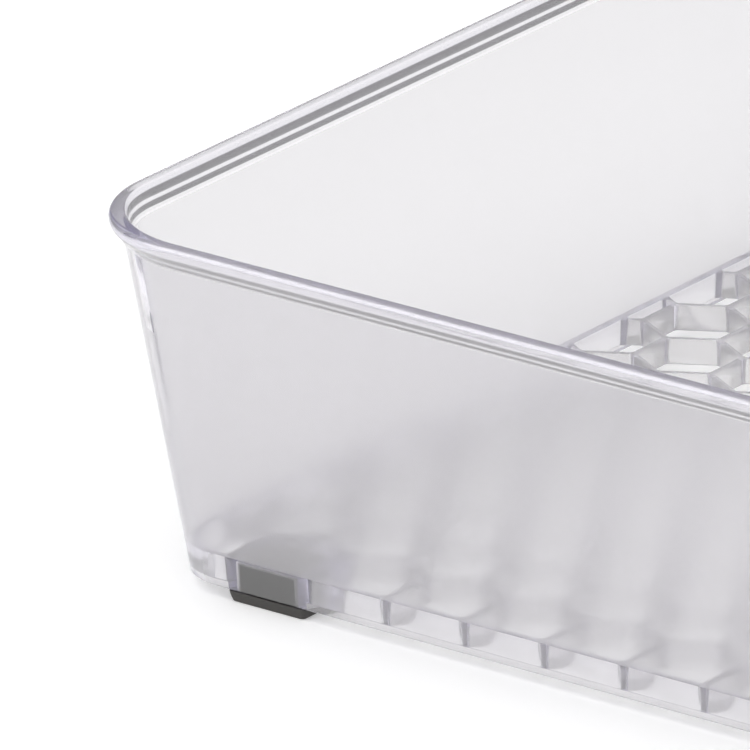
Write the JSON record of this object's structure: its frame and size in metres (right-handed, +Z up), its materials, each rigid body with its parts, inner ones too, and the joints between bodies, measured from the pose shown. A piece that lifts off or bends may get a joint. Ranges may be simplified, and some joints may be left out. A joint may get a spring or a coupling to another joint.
{
  "type": "fridge bin",
  "caption": "Clear open-topped refrigerator bin with drafted frosted walls, a rolled rim, an open honeycomb floor and soft corner feet.",
  "frame": {"origin": "under the middle of the bin, on the surface that the feet stand on", "axes": "+Z up, +X along the front wall to the right, +Y from the front wall to the back wall"},
  "size_m": [0.298, 0.32, 0.1],
  "materials": {
    "clear_plastic": "moulded clear plastic, frosted on the inner walls, polished on the rim and floor",
    "foot_rubber": "matt soft rubber, dark warm grey"
  },
  "bodies": {
    "root": {"tray": "clear_plastic", "foot_front_left": "foot_rubber", "foot_front_right": "foot_rubber", "foot_back_left": "foot_rubber", "foot_back_right": "foot_rubber"}
  },
  "joints": []
}
